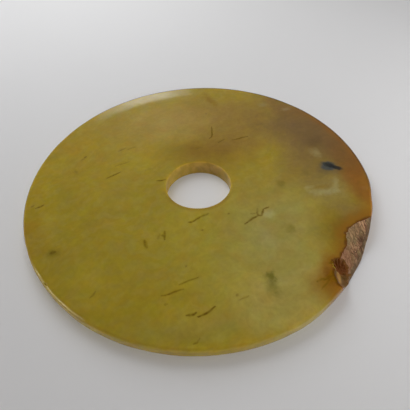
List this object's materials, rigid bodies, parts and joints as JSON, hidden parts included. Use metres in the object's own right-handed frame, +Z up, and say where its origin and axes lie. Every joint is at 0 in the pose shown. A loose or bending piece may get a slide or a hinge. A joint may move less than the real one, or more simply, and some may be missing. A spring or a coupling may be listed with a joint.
{
  "type": "bi disc",
  "caption": "Flat round ritual disc of polished translucent agate with a drilled centre hole and an old break in the rim, lying on its underside.",
  "frame": {"origin": "centre of the underside, on the axis of the disc", "axes": "+Z is up along the disc's axis, away from the underside; the break in the rim faces +X and -Y"},
  "size_m": [0.15, 0.15, 0.0062],
  "materials": {
    "agate": "polished translucent olive-yellow agate with brown stains, rough where broken"
  },
  "bodies": {
    "root": {"disc": "agate"}
  },
  "joints": []
}
